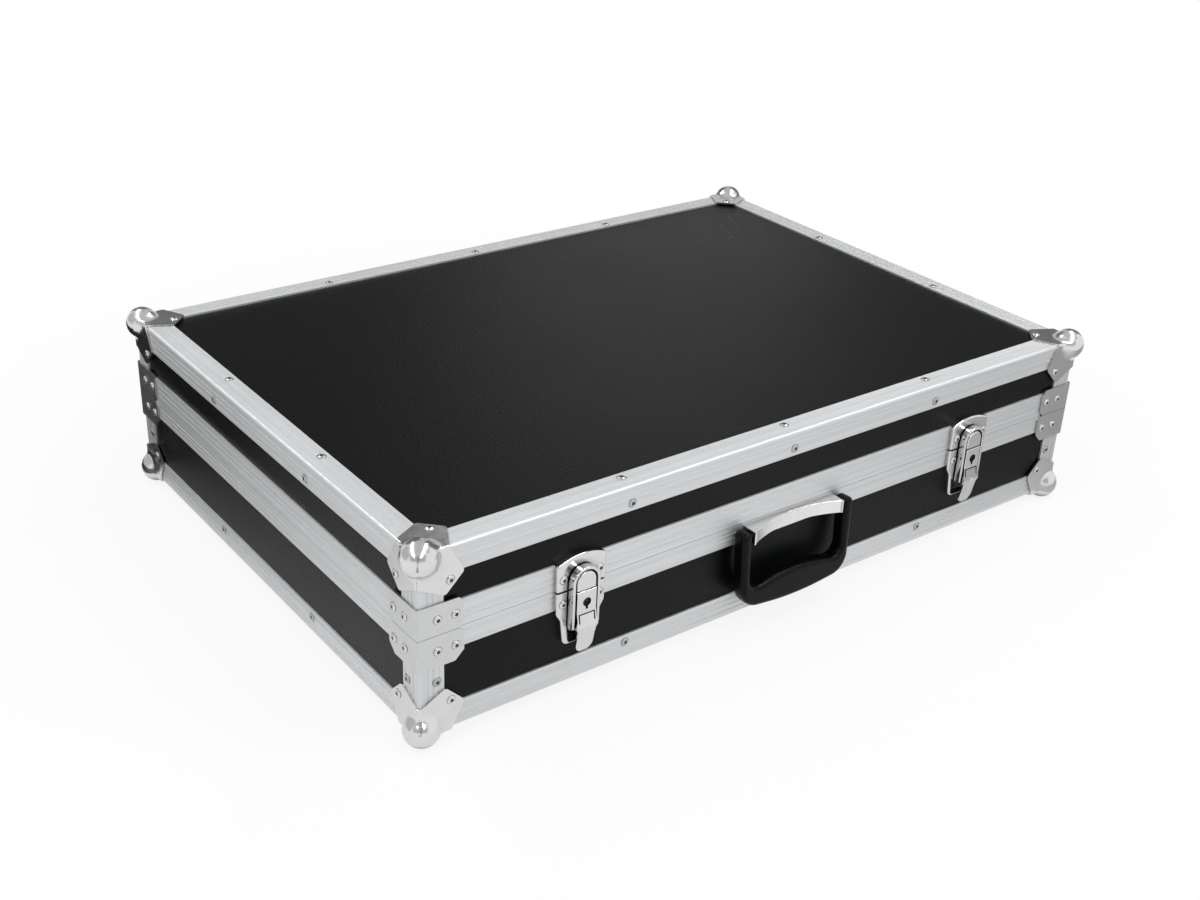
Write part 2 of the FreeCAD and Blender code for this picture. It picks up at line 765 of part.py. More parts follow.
def latch_bail():
    """Arched band that hooks over the keeper's boss, with a pin eye in each leg."""
    rise = boss_rise + bail_gap
    outer = tongue(bail_outer, -bail_leg_drop, rise + bail_band, bail_back, bail_proud)
    inner = tongue(bail_inner, -bail_leg_drop - overrun, rise, bail_back - overrun, bail_proud + overrun)
    band = outer.cut(inner)
    band = band.makeFillet(bail_edge_radius, front_edges(band, bail_proud, -bail_leg_drop))
    top = rise + bail_band + overrun
    side = [
        (-bail_proud, -bail_leg_drop, bail_leg_radius),
        (-bail_back, -bail_leg_drop, bail_leg_radius),
        (-bail_back, top),
        (-bail_proud, top),
    ]
    band = band.common(prism(side, SIDE, -bail_outer - overrun, bail_outer + overrun))
    bore = cross_rod(latch_pin_radius + pin_clearance, plate_half_width, bail_pin_proud, -bail_pin_drop)
    return band.cut(bore)


def latch_lock():
    """Lock plug behind the keyhole, with its keyway and cam."""
    front = lever_inner - lock_gap
    back = front - lock_length
    plug = rod(lock_radius, FreeCAD.Vector(0, -front, -keyhole_drop), FreeCAD.Vector(0, -back, -keyhole_drop))
    keyway = block((-keyway_width / 2, keyway_width / 2), (-front - overrun, -back - lock_length / 2),
                   (-keyhole_drop - lock_radius * keyway_reach_share, -keyhole_drop))
    tip = -keyhole_drop - cam_length
    right = [(cam_half_width, -keyhole_drop), (cam_half_width, tip, cam_half_width * round_share)]
    cam = prism(mirrored_pair(right), FRONT, back, back + cam_sheet)
    return plug.cut(keyway).fuse(cam).removeSplitter()


# Drop handle


def is_arc_at(edge, radius, level):
    """Whether an edge is an arc of this radius that lies at this height."""
    if not isinstance(edge.Curve, Part.Circle) or abs(edge.Curve.Radius - radius) > touch_tolerance:
        return False
    return all(abs(vertex.Point.z - level) < touch_tolerance for vertex in edge.Vertexes)


def handle_bracket():
    """Folded bracket with a hollowed front lip and an ear for the pin at each end."""
    top = -bracket_top_drop
    hollow = bracket_end_proud - bracket_waist_proud
    sweep = (bracket_half_width ** 2 + hollow ** 2) / (2 * hollow)
    centre = -bracket_waist_proud - sweep
    lip_foot = top - bracket_lip_height
    back_foot = top - bracket_back_height
    width = (-bracket_half_width, bracket_half_width)
    body = block(width, (-bracket_end_proud, 0), (back_foot, top))
    low = FreeCAD.Vector(0, centre, back_foot - overrun)
    high = FreeCAD.Vector(0, centre, top + overrun)
    body = body.cut(rod(sweep, low, high))
    fold = [edge for edge in body.Edges if is_arc_at(edge, sweep, top)]
    body = body.makeFillet(bracket_fold_radius, fold)
    inside = block(width, (-bracket_end_proud - overrun, -bracket_sheet),
                   (back_foot - overrun, top - bracket_sheet))
    inside = inside.cut(rod(sweep + bracket_sheet, low, high))
    body = body.cut(inside)
    skirt = block(width, (-bracket_end_proud - overrun, -bracket_sheet), (back_foot - overrun, lip_foot))
    body = body.cut(skirt)
    for side in (-1, 1):
        limits = sorted((side * bracket_half_width, side * (bracket_half_width - bracket_sheet)))
        body = body.fuse(block(limits, (-bracket_end_proud, 0), (lip_foot, top)))
    bore = cross_rod(grip_pin_radius + pin_clearance, bracket_half_width + overrun,
                     grip_pivot_proud, -grip_pivot_drop)
    return body.cut(bore).removeSplitter()


def handle_grip():
    """Moulded D-shaped grip, hanging a little outwards from its pivot."""
    pivot = -grip_pivot_drop
    arm = grip_half_width - grip_arm_width
    right = [
        (0, pivot - grip_inner_drop + grip_inner_crown, grip_crown_radius),
        (arm, pivot - grip_inner_drop, grip_inner_radius),
        (arm, pivot + grip_top_rise, grip_arm_width * arm_inner_round_share),
        (grip_half_width, pivot + grip_top_rise, grip_arm_width * arm_outer_round_share),
        (grip_foot_half_width, pivot - grip_corner_drop, grip_outer_radius),
        (0, pivot - grip_corner_drop - grip_bulge, grip_bulge_radius),
    ]
    left = [(-corner[0],) + tuple(corner[1:]) for corner in reversed(right[1:-1])]
    near = grip_pivot_proud - grip_thickness / 2
    far = grip_pivot_proud + grip_thickness / 2
    grip = prism(right + left, FRONT, near, far)
    faces = []
    for edge in grip.Edges:
        levels = [-vertex.Point.y for vertex in edge.Vertexes]
        if max(levels) - min(levels) < grip_thickness / 2:
            faces.append(edge)
    grip = grip.makeFillet(grip_edge_radius, faces)
    bore = cross_rod(grip_pin_radius + pin_clearance, arm + grip_pin_depth + pin_clearance,
                     grip_pivot_proud, pivot)
    grip = grip.cut(bore)
    grip.rotate(FreeCAD.Vector(0, -grip_pivot_proud, pivot), -X_AXIS, grip_rest_angle)
    return grip


def handle_pins():
    """Two headed pins from the bracket's ears into the grip's arms."""
    pins = []
    inside = bracket_half_width - bracket_sheet - grip_pin_head
    outside = grip_half_width - grip_arm_width + grip_pin_depth
    for side in (-1, 1):
        points = [FreeCAD.Vector(side * x, -grip_pivot_proud, -grip_pivot_drop)
                  for x in (inside, inside + grip_pin_head, outside)]
        pins.append(rod(grip_pin_radius, points[0], points[2])
                    .fuse(rod(grip_pin_radius + grip_pin_head, points[0], points[1])).removeSplitter())
    return pins


# Rear stop hinges, drawn at the seam with the rear face at y = 0 and turned over when seated


def knuckles(parity):
    """X limits of every second knuckle."""
    width = (hinge_width - knuckle_gap * (knuckle_count - 1)) / knuckle_count
    starts = [-hinge_width / 2 + index * (width + knuckle_gap) for index in range(knuckle_count)]
    return [(start, start + width) for start in starts[parity::2]]


def hinge_leaf(height, parity, upward):
    """One leaf with its knuckles and a stop wing at each end."""
    half = hinge_width / 2
    leaf = block((-half, half), (-hinge_sheet, 0), (leaf_relief, height))
    for limits in knuckles(parity):
        barrel = rod(knuckle_radius, FreeCAD.Vector(limits[0], -hinge_axis_proud, 0),
                     FreeCAD.Vector(limits[1], -hinge_axis_proud, 0))
        leaf = leaf.fuse(block(limits, (-hinge_sheet, 0), (0, leaf_relief))).fuse(barrel)
    reach = math.radians(stop_angle)
    stops = [(-hinge_axis_proud - length * math.cos(reach), length * math.sin(reach))
             for length in (stop_near, stop_far)]
    wing = [(0, stop_near), stops[0], stops[1], (-hinge_sheet, stop_foot), (0, stop_foot)]
    for side in (-1, 1):
        limits = sorted((side * half, side * (half + hinge_sheet)))
        leaf = leaf.fuse(prism(wing, SIDE, limits[0], limits[1]))
    leaf = leaf.cut(cross_rod(hinge_pin_radius + pin_clearance, hinge_width, hinge_axis_proud, 0))
    leaf = leaf.removeSplitter()
    return leaf if upward else leaf.mirror(ORIGIN, Z_AXIS)


def leaf_rivets(height):
    """Rivets across one hinge leaf."""
    places = [(-leaf_rivet_place, height), (0, height), (leaf_rivet_place, height)]
    return front_rivets(places, hinge_sheet)


def main():
    os.makedirs("parts", exist_ok=True)
    base_rivets = corner_rivets(False)
    lid_rivets = corner_rivets(True)
    for prefix, upper, main_panel in (("base", False, "base_floor_panel"), ("lid", True, "lid_top_panel")):
        for name, panel in panels(upper).items():
            save(main_panel if name == "main" else f"{prefix}_{name}_panel", [panel])
        section = lid_rim_section() if upper else base_rim_section()
        for side, span in spans().items():
            save(f"{prefix}_edge_{side}", [to_side(edge_rail(span), side, upper)])
            save(f"{prefix}_rim_{side}", [to_side(rim_rail(section, span), side, upper)])
            (lid_rivets if upper else base_rivets).extend(edge_rivets(side, upper))
        post_height = lid_height - lid_rim_height if upper else base_height - base_rim_height
        save(f"{prefix}_corner_posts", to_corners(corner_post(post_height), upper))
        save(f"{prefix}_ball_corners", to_corners(ball_corner(), upper))
    base_brace = corner_brace(base_height, base_brace_height, brace_foot_cut)
    save("base_corner_braces", to_corners(base_brace, False))
    lid_brace = corner_brace(lid_height, lid_brace_height, brace_tip_cut)
    save("lid_corner_braces", to_corners(lid_brace, True))

    floor_pad, wall_pads = base_foam()
    save("base_floor_foam", [floor_pad])
    save("base_wall_foam", wall_pads)
    save("lid_foam", [lid_pad()])

    pivot_pins = []
    pivot_pin = cross_rod(latch_pin_radius, lever_half_width, pivot_proud, -pivot_drop)
    bail_pin = cross_rod(latch_pin_radius, bail_outer, bail_pin_proud, -bail_pin_drop)
    pieces = {"base_plate": latch_base_plate(), "keeper": latch_keeper(), "lever": latch_lever()}
    pieces.update({"bail": latch_bail(), "lock": latch_lock(), "bail_pin": bail_pin})
    plate_places = [(side * plate_rivet_place, -plate_rivet_drop) for side in (-1, 1)]
    keeper_places = [(side * plate_rivet_place, keeper_rivet_rise) for side in (-1, 1)]
    for side, x in (("left", -latch_offset), ("right", latch_offset)):
        for name, piece in pieces.items():
            save(f"latch_{side}_{name}", [to_front(piece, x)])
        pivot_pins.append(to_front(pivot_pin, x))
        base_rivets += [to_front(head, x) for head in front_rivets(plate_places, tray_depth)]
        lid_rivets += [to_front(head, x) for head in front_rivets(keeper_places, tray_depth)]
    save("latch_pivot_pins", pivot_pins)

    save("handle_bracket", [to_front(handle_bracket(), 0)])
    save("handle_grip", [to_front(handle_grip(), 0)])
    save("handle_pins", [to_front(pin, 0) for pin in handle_pins()])
    bracket_places = [(side * bracket_rivet_place, -grip_pivot_drop) for side in (-1, 1)]
    base_rivets += [to_front(head, 0) for head in front_rivets(bracket_places, bracket_sheet)]

    hinge_pins = []
    hinge_pin = cross_rod(hinge_pin_radius, hinge_width / 2, hinge_axis_proud, 0)
    base_leaf = hinge_leaf(base_leaf_height, 0, False)
    lid_leaf = hinge_leaf(lid_leaf_height, 1, True)
    for side, x in (("left", -hinge_offset), ("right", hinge_offset)):
        save(f"hinge_{side}_base_leaf", [to_rear(base_leaf, x)])
        save(f"hinge_{side}_lid_leaf", [to_rear(lid_leaf, x)])
        hinge_pins.append(to_rear(hinge_pin, x))
        base_rivets += [to_rear(head, x) for head in leaf_rivets(-base_leaf_rivet_drop)]
        lid_rivets += [to_rear(head, x) for head in leaf_rivets(lid_leaf_rivet_rise)]
    save("hinge_pins", hinge_pins)
    save("base_rivets", base_rivets)
    save("lid_rivets", lid_rivets)


main()
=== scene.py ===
# %% [markdown]
# # Dressing a flight case
# The case arrives as a frame of CAD solids: black panels in aluminium angles, ball corners, latches, a drop
# handle, hinges and a foam lining. This lesson gives each of those surfaces its finish, sets real rivet
# heads where the frame has plain ones, makes the foam, and lights the case as in a white studio.

# %% Load the frame
import json
import math

import bmesh
import bpy
from mathutils import Matrix, Quaternion, Vector


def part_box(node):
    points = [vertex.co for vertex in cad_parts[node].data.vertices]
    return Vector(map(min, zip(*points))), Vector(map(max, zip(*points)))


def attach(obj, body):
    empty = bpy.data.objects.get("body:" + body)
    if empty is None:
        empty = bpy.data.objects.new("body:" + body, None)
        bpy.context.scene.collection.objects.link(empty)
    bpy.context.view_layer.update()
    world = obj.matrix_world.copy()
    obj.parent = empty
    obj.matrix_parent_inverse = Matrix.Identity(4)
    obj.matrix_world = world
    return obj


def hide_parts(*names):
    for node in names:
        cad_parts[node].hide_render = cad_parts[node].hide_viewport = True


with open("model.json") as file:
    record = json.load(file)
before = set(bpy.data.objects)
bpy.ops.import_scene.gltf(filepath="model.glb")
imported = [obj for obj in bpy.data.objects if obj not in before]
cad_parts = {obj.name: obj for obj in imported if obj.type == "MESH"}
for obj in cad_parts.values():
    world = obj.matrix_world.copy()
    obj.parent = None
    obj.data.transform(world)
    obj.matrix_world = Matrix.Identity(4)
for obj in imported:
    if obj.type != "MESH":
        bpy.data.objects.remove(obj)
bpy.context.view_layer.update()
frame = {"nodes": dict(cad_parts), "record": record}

nodes = frame["nodes"]
slot_of = {row["node"]: row["material_slot"] for row in frame["record"]["subparts"]}

# %% [markdown]
# ## Camera
# The camera stands where the photograph was taken from, in front of the left corner and above the lid. Its
# place was worked out from the straight edges of the case, so it holds an azimuth, an elevation and a small
# roll. Building the turn from those three angles keeps the numbers readable, where a tracking constraint
# would hide them.

# %% Camera
camera_place = Vector((-0.7608, -0.9693, 0.6779))
camera_side = -37.86
camera_azimuth = math.radians(camera_side)
camera_elevation = math.radians(27.49)
camera_roll = math.radians(2.57)
camera_lens = 46.94


def camera_turn(azimuth, elevation, roll):
    """Rotation whose columns are the camera's right, up and back directions."""
    flat = math.cos(elevation)
    back = Vector((math.sin(azimuth) * flat, -math.cos(azimuth) * flat, math.sin(elevation)))
    right = Vector((math.cos(azimuth), math.sin(azimuth), 0))
    up = back.cross(right)
    rolled_right = math.cos(roll) * right + math.sin(roll) * up
    rolled_up = math.cos(roll) * up - math.sin(roll) * right
    return Matrix((rolled_right, rolled_up, back)).transposed()


camera_data = bpy.data.cameras.new("photo_camera")
camera_data.sensor_width = 36
camera_data.lens = camera_lens
camera = bpy.data.objects.new("photo_camera", camera_data)
bpy.context.scene.collection.objects.link(camera)
turn = camera_turn(camera_azimuth, camera_elevation, camera_roll).to_4x4()
camera.matrix_world = Matrix.Translation(camera_place) @ turn
bpy.context.scene.camera = camera
bpy.context.scene.view_settings.view_transform = "Standard"
print("camera at", camera_place, "lens", camera_lens)

# %% [markdown]
# ## Small helpers for node trees
# Every finish below is a node tree, so a few helpers do the typing. One adds a node with its settings, and
# a shorter one does so for sums. Others start a material and hand back its shader, or start a shader group
# with named sockets, because an effect that several finishes share is built once and then placed with its
# own values.

# %% Node helpers


def add_node(tree, kind, inputs=None, **settings):
    """Add a node, set its properties, then fill or link its inputs."""
    node = tree.nodes.new(kind)
    for name, value in settings.items():
        setattr(node, name, value)
    for name, value in (inputs or {}).items():
        if isinstance(value, bpy.types.NodeSocket):
            tree.links.new(value, node.inputs[name])
        else:
            node.inputs[name].default_value = value
    return node


def calc(tree, operation, *values):
    """The result of a Math node; each value is a number or a socket."""
    return add_node(tree, "ShaderNodeMath", dict(enumerate(values)), operation=operation).outputs[0]


def start_group(name, inputs, outputs):
    """A new shader group; inputs are (name, socket type, default), outputs are (name, socket type)."""
    group = bpy.data.node_groups.new(name, "ShaderNodeTree")
    for label, kind, default in inputs:
        socket = group.interface.new_socket(label, in_out="INPUT", socket_type=kind)
        socket.default_value = default
    for label, kind in outputs:
        group.interface.new_socket(label, in_out="OUTPUT", socket_type=kind)
    return group, group.nodes.new("NodeGroupInput"), group.nodes.new("NodeGroupOutput")


def place_group(tree, group, **inputs):
    """A shader group in a material, with its values; underscores stand for spaces."""
    node = tree.nodes.new("ShaderNodeGroup")
    node.node_tree = group
    for name, value in inputs.items():
        node.inputs[name.replace("_", " ")].default_value = value
    return node


def start_material(name, color, roughness, metallic=0.0):
    """A material with its Principled shader; color is linear red, green and blue."""
    material = bpy.data.materials.new(name)
    material.use_nodes = True
    material.diffuse_color = (*color, 1)
    shader = material.node_tree.nodes["Principled BSDF"]
    shader.inputs["Base Color"].default_value = (*color, 1)
    shader.inputs["Roughness"].default_value = roughness
    shader.inputs["Metallic"].default_value = metallic
    return material, material.node_tree, shader


def add_bump(tree, shader, height, distance, strength=1.0):
    """Let a height drive the shader's normal."""
    bump = add_node(tree, "ShaderNodeBump", {"Height": height, "Distance": distance, "Strength": strength})
    tree.links.new(bump.outputs["Normal"], shader.inputs["Normal"])


# %% [markdown]
# ## Shared effects
# Four effects appear on more than one finish. *Fine grain* is the pebbled skin of laminate and moulded
# plastic. *Drawn streaks* are the faint lengthwise lines that a die leaves on extruded aluminium, or a
# brush on sheet metal. *Handling haze* is the slow change in gloss that hands and cloths leave. Those three
# read Object coordinates, which are metres here, so a scale is simply how many features fit in a metre.
# *Recess shade* is painted shade: it darkens the colour in gaps and inner corners, where shade falls;
# ambient occlusion measures how closed in each point is.

# %% Fine grain
grain_group, grain_in, grain_out = start_group(
    "fine_grain",
    [("Grains per metre", "NodeSocketFloat", 900.0), ("Contrast", "NodeSocketFloat", 0.3)],
    [("Height", "NodeSocketFloat"), ("Shade", "NodeSocketFloat")],
)
place = add_node(grain_group, "ShaderNodeTexCoord")
pebble = add_node(grain_group, "ShaderNodeTexNoise", {"Detail": 2.0, "Roughness": 0.6})
grain_group.links.new(place.outputs["Object"], pebble.inputs["Vector"])
grain_group.links.new(grain_in.outputs["Grains per metre"], pebble.inputs["Scale"])
shade = add_node(grain_group, "ShaderNodeMapRange", {"From Min": 0.3, "From Max": 0.7, "To Max": 1.0})
grain_group.links.new(pebble.outputs["Fac"], shade.inputs["Value"])
darkest = calc(grain_group, "SUBTRACT", 1.0, grain_in.outputs["Contrast"])
grain_group.links.new(darkest, shade.inputs["To Min"])
grain_group.links.new(pebble.outputs["Fac"], grain_out.inputs["Height"])
grain_group.links.new(shade.outputs["Result"], grain_out.inputs["Shade"])
print("group", grain_group.name)

# %% Drawn streaks
streak_group, streak_in, streak_out = start_group(
    "drawn_streaks",
    [("Lines per metre", "NodeSocketVector", (2.0, 700.0, 700.0)), ("Depth", "NodeSocketFloat", 0.1)],
    [("Height", "NodeSocketFloat"), ("Gain", "NodeSocketFloat")],
)
place = add_node(streak_group, "ShaderNodeTexCoord")
stretch = add_node(streak_group, "ShaderNodeVectorMath", operation="MULTIPLY")
streak_group.links.new(place.outputs["Object"], stretch.inputs[0])
streak_group.links.new(streak_in.outputs["Lines per metre"], stretch.inputs[1])
lines = add_node(streak_group, "ShaderNodeTexNoise", {"Scale": 1.0, "Detail": 3.0, "Roughness": 0.7})
streak_group.links.new(stretch.outputs[0], lines.inputs["Vector"])
centred = calc(streak_group, "SUBTRACT", lines.outputs["Fac"], 0.5)
gain = calc(streak_group, "MULTIPLY_ADD", centred, streak_in.outputs["Depth"], 1.0)
streak_group.links.new(lines.outputs["Fac"], streak_out.inputs["Height"])
streak_group.links.new(gain, streak_out.inputs["Gain"])
print("group", streak_group.name)

# %% Handling haze
haze_group, haze_in, haze_out = start_group(
    "handling_haze",
    [
        ("Patches per metre", "NodeSocketFloat", 14.0),
        ("Low", "NodeSocketFloat", 0.3),
        ("High", "NodeSocketFloat", 0.5),
    ],
    [("Roughness", "NodeSocketFloat")],
)
place = add_node(haze_group, "ShaderNodeTexCoord")
cloud = add_node(haze_group, "ShaderNodeTexNoise", {"Detail": 4.0, "Roughness": 0.62})
haze_group.links.new(place.outputs["Object"], cloud.inputs["Vector"])
haze_group.links.new(haze_in.outputs["Patches per metre"], cloud.inputs["Scale"])
spread = add_node(haze_group, "ShaderNodeMapRange", {"From Min": 0.3, "From Max": 0.7})
haze_group.links.new(cloud.outputs["Fac"], spread.inputs["Value"])
haze_group.links.new(haze_in.outputs["Low"], spread.inputs["To Min"])
haze_group.links.new(haze_in.outputs["High"], spread.inputs["To Max"])
haze_group.links.new(spread.outputs["Result"], haze_out.inputs["Roughness"])
print("group", haze_group.name)

# %% Recess painted shade
recess_shade_group, recess_shade_in, recess_shade_out = start_group(
    "recess_painted_shade",
    [("Reach", "NodeSocketFloat", 0.010), ("Darkest", "NodeSocketFloat", 0.06)],
    [("Gain", "NodeSocketFloat")],
)
# Painted shade: the colour gets darker where ambient occlusion finds the point closed in.
open_air = add_node(recess_shade_group, "ShaderNodeAmbientOcclusion", samples=8)
recess_shade_group.links.new(recess_shade_in.outputs["Reach"], open_air.inputs["Distance"])
depth = add_node(recess_shade_group, "ShaderNodeMapRange", {"From Min": 0.15, "From Max": 0.85})
recess_shade_group.links.new(open_air.outputs["AO"], depth.inputs["Value"])
recess_shade_group.links.new(recess_shade_in.outputs["Darkest"], depth.inputs["To Min"])
recess_shade_group.links.new(depth.outputs["Result"], recess_shade_out.inputs["Gain"])
print("group", recess_shade_group.name)


def shaded(tree, shader, color, gain):
    """Multiply a colour by a value that changes over the surface and feed it to the shader."""
    tint = add_node(tree, "ShaderNodeMix", data_type="RGBA", blend_type="MULTIPLY")
    tint.inputs["Factor"].default_value = 1.0
    tint.inputs[6].default_value = (*color, 1)
    tree.links.new(gain, tint.inputs[7])
    tree.links.new(tint.outputs[2], shader.inputs["Base Color"])


# %% [markdown]
# ## Black laminate
# The panels are plywood faced with a black film that has a fine pebble pressed into it. The pebble is far
# below the size that geometry should carry, so it is a bump from the grain group, with the same grain
# darkening the colour a little in its pits. A slow haze in the roughness keeps the large lid from looking
# like printed colour.

# %% Black laminate
laminate_color = (0.0015, 0.0021, 0.0026)
laminate, tree, shader = start_material("black_laminate", laminate_color, 0.36)
shader.inputs["Specular IOR Level"].default_value = 0.13
grain = place_group(tree, grain_group, Grains_per_metre=650.0, Contrast=0.8)
shaded(tree, shader, laminate_color, grain.outputs["Shade"])
add_bump(tree, shader, grain.outputs["Height"], 0.00030)
haze = place_group(tree, haze_group, Patches_per_metre=5.0, Low=0.30, High=0.35)
tree.links.new(haze.outputs["Roughness"], shader.inputs["Roughness"])
print("material", laminate.name)

# %% [markdown]
# ## Drawn aluminium
# The edge angles and rims are extrusions, so their streaks run along each rail. Object coordinates don't
# know which way a rail runs, so there is one material for each direction, made by a loop with the stretch
# turned round.

# %% Drawn aluminium
aluminium_color = (0.68, 0.69, 0.70)
along, across = 1.5, 420.0
aluminium = {}
for axis_name, lines_per_metre in {
    "x": (along, across, across),
    "y": (across, along, across),
    "z": (across, across, along),
}.items():
    metal, tree, shader = start_material(f"drawn_aluminium_{axis_name}", aluminium_color, 0.58, 1.0)
    streaks = place_group(tree, streak_group, Lines_per_metre=lines_per_metre, Depth=0.36)
    shaded(tree, shader, aluminium_color, streaks.outputs["Gain"])
    add_bump(tree, shader, streaks.outputs["Height"], 0.00001)
    haze = place_group(tree, haze_group, Patches_per_metre=6.0, Low=0.55, High=0.61)
    tree.links.new(haze.outputs["Roughness"], shader.inputs["Roughness"])
    aluminium[axis_name] = metal
print("materials", [metal.name for metal in aluminium.values()])

# %% [markdown]
# ## Plated metals
# Braces and hinges are zinc-plated sheet with a dull, even look. Latches, ball corners and the handle's
# bracket are nickel plated, so their reflections do the work: the shader is plain metal, a slow wave in the
# normal bends the reflections as a pressed sheet does, and haze keeps the polish from being perfect. The
# latches are the brightest, the ball corners are a little softer, and the bracket is satin, so one function
# makes them all.

# %% Plated metals


def plated(name, color, low, high, wave, waves_per_metre):
    """A plated metal with hazy polish, the gentle waviness of pressed sheet, and painted shade in its
    recesses.
    """
    metal, tree, shader = start_material(name, color, low, 1.0)
    haze = place_group(tree, haze_group, Patches_per_metre=45.0, Low=low, High=high)
    tree.links.new(haze.outputs["Roughness"], shader.inputs["Roughness"])
    grain = place_group(tree, grain_group, Grains_per_metre=waves_per_metre, Contrast=0.05)
    # Painted shade in the recesses darkens the colour, multiplied with the grain.
    recess_shade = place_group(tree, recess_shade_group)
    gain = calc(tree, "MULTIPLY", grain.outputs["Shade"], recess_shade.outputs["Gain"])
    shaded(tree, shader, color, gain)
    add_bump(tree, shader, grain.outputs["Height"], wave)
    return metal


zinc = plated("zinc_plated_sheet", (0.64, 0.645, 0.65), 0.30, 0.36, 0.00001, 500.0)
nickel = plated("polished_nickel", (0.70, 0.70, 0.70), 0.10, 0.16, 0.0003, 55.0)
satin_nickel = plated("satin_nickel", (0.80, 0.80, 0.80), 0.26, 0.32, 0.00003, 90.0)
corner_nickel = plated("corner_nickel", (0.72, 0.72, 0.72), 0.17, 0.23, 0.0003, 55.0)
pin_steel = plated("plain_steel", (0.50, 0.50, 0.50), 0.28, 0.40, 0.00003, 600.0)
lock_steel = plated("dark_lock_steel", (0.05, 0.05, 0.05), 0.35, 0.5, 0.00003, 600.0)
plated_metals = (zinc, nickel, satin_nickel, corner_nickel, pin_steel, lock_steel)
print("materials", [metal.name for metal in plated_metals])

# %% [markdown]
# ## Moulded grip
# The carrying grip is a black moulding with a spark-eroded skin: a grain finer than the laminate's, and a
# satin gloss that is a little higher where hands polish it.

# %% Moulded grip
grip_color = (0.0018, 0.0020, 0.0022)
grip_plastic, tree, shader = start_material("moulded_grip", grip_color, 0.38)
shader.inputs["Specular IOR Level"].default_value = 0.12
grain = place_group(tree, grain_group, Grains_per_metre=1100.0, Contrast=0.6)
shaded(tree, shader, grip_color, grain.outputs["Shade"])
add_bump(tree, shader, grain.outputs["Height"], 0.0002)
haze = place_group(tree, haze_group, Patches_per_metre=30.0, Low=0.25, High=0.34)
tree.links.new(haze.outputs["Roughness"], shader.inputs["Roughness"])
print("material", grip_plastic.name)

# %% [markdown]
# ## Open-cell foam
# Foam scatters light from thousands of small cells, so it is nearly black in the pits and grey on the walls
# between. A Voronoi texture gives the cells: its distance is both the bump and the shade.

# %% Open-cell foam
foam_color = (0.042, 0.043, 0.047)
foam, tree, shader = start_material("open_cell_foam", foam_color, 0.95)
place = add_node(tree, "ShaderNodeTexCoord")
cells = add_node(tree, "ShaderNodeTexVoronoi", {"Scale": 650.0, "Vector": place.outputs["Object"]})
walls = add_node(tree, "ShaderNodeMapRange", {"From Max": 0.75, "To Min": 0.35, "To Max": 1.25})
tree.links.new(cells.outputs["Distance"], walls.inputs["Value"])
shaded(tree, shader, foam_color, walls.outputs["Result"])
add_bump(tree, shader, cells.outputs["Distance"], 0.0008)
shader.inputs["Sheen Weight"].default_value = 0.15
print("material", foam.name)

# %% [markdown]
# ## Finishes on the CAD nodes
# A CAD node whose shape is right keeps its mesh and only swaps its material. The record says which finish
# each node has, and the name of a rail says which way it runs.

# %% Finishes on the CAD nodes
finish_of = {
    "laminate": laminate,
    "zinc_plate": zinc,
    "nickel": nickel,
    "rivet": zinc,
    "pin_steel": pin_steel,
    "lock_steel": lock_steel,
    "grip_plastic": grip_plastic,
    "foam": foam,
}


def rail_direction(name):
    """Axis along which an aluminium node runs."""
    if name.endswith("posts"):
        return "z"
    return "x" if name.endswith(("front", "rear")) else "y"


for name, node in nodes.items():
    slot = slot_of[name]
    finish = aluminium[rail_direction(name)] if slot == "aluminium" else finish_of[slot]
    if name == "handle_bracket":
        finish = satin_nickel
    if name.endswith("ball_corners"):
        finish = corner_nickel
    node.data.materials[0] = finish
print("finished", len(nodes), "nodes")

# %% [markdown]
# ## Rivets
# The frame marks each rivet with a plain low head. The real ones are blind rivets: a dome with the
# snapped-off end of the mandrel in a pit at its middle. They repeat all over the case, so a Geometry Nodes
# tree makes one head from a closed cone whose rings are lifted into a dome, stands it on points, and turns
# each point's copy to its own direction. The points come from the frame's own rivets, so a rivet can't be
# off its seat.

# %% Rivet seats
merge_distance = 1e-6
seat_ring_share = 0.9
plate_least_proud = 0.0005


def islands(mesh):
    """Groups of points that hang together once a node's loose triangles are merged."""
    shape = bmesh.new()
    shape.from_mesh(mesh)
    bmesh.ops.remove_doubles(shape, verts=shape.verts, dist=merge_distance)
    seen = set()
    groups = []
    for start in shape.verts:
        if start in seen:
            continue
        group, queue = [], [start]
        seen.add(start)
        while queue:
            vert = queue.pop()
            group.append(vert.co.copy())
            for edge in vert.link_edges:
                other = edge.other_vert(vert)
                if other not in seen:
                    seen.add(other)
                    queue.append(other)
        groups.append(group)
    shape.free()
    return groups


def seat_of(points):
    """Seat and outward direction of a rivet head: its widest ring is the seat, the rest is the crown."""
    middle = sum(points, Vector()) / len(points)
    low = Vector(map(min, *points))
    high = Vector(map(max, *points))
    size = high - low
    axis = min(range(3), key=lambda index: size[index])
    direction = Vector((0, 0, 0))
    direction[axis] = 1
    reach = [(point - middle).length for point in points]
    seat_ring = [point for point, length in zip(points, reach) if length > seat_ring_share * max(reach)]
    seat = sum(seat_ring, Vector()) / len(seat_ring)
    outward = direction if (middle - seat).dot(direction) > 0 else -direction
    return seat, outward


left_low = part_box("base_edge_left")[0]
front_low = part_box("base_edge_front")[0]
right_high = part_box("base_edge_right")[1]
rear_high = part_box("base_edge_rear")[1]
lid_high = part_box("lid_edge_front")[1]
frame_low = Vector((left_low.x, front_low.y, front_low.z))
frame_high = Vector((right_high.x, rear_high.y, lid_high.z))


def proud_of_frame(seat):
    """How far a seat stands outside the aluminium frame's box."""
    return max(max(frame_low[axis] - seat[axis], seat[axis] - frame_high[axis]) for axis in range(3))


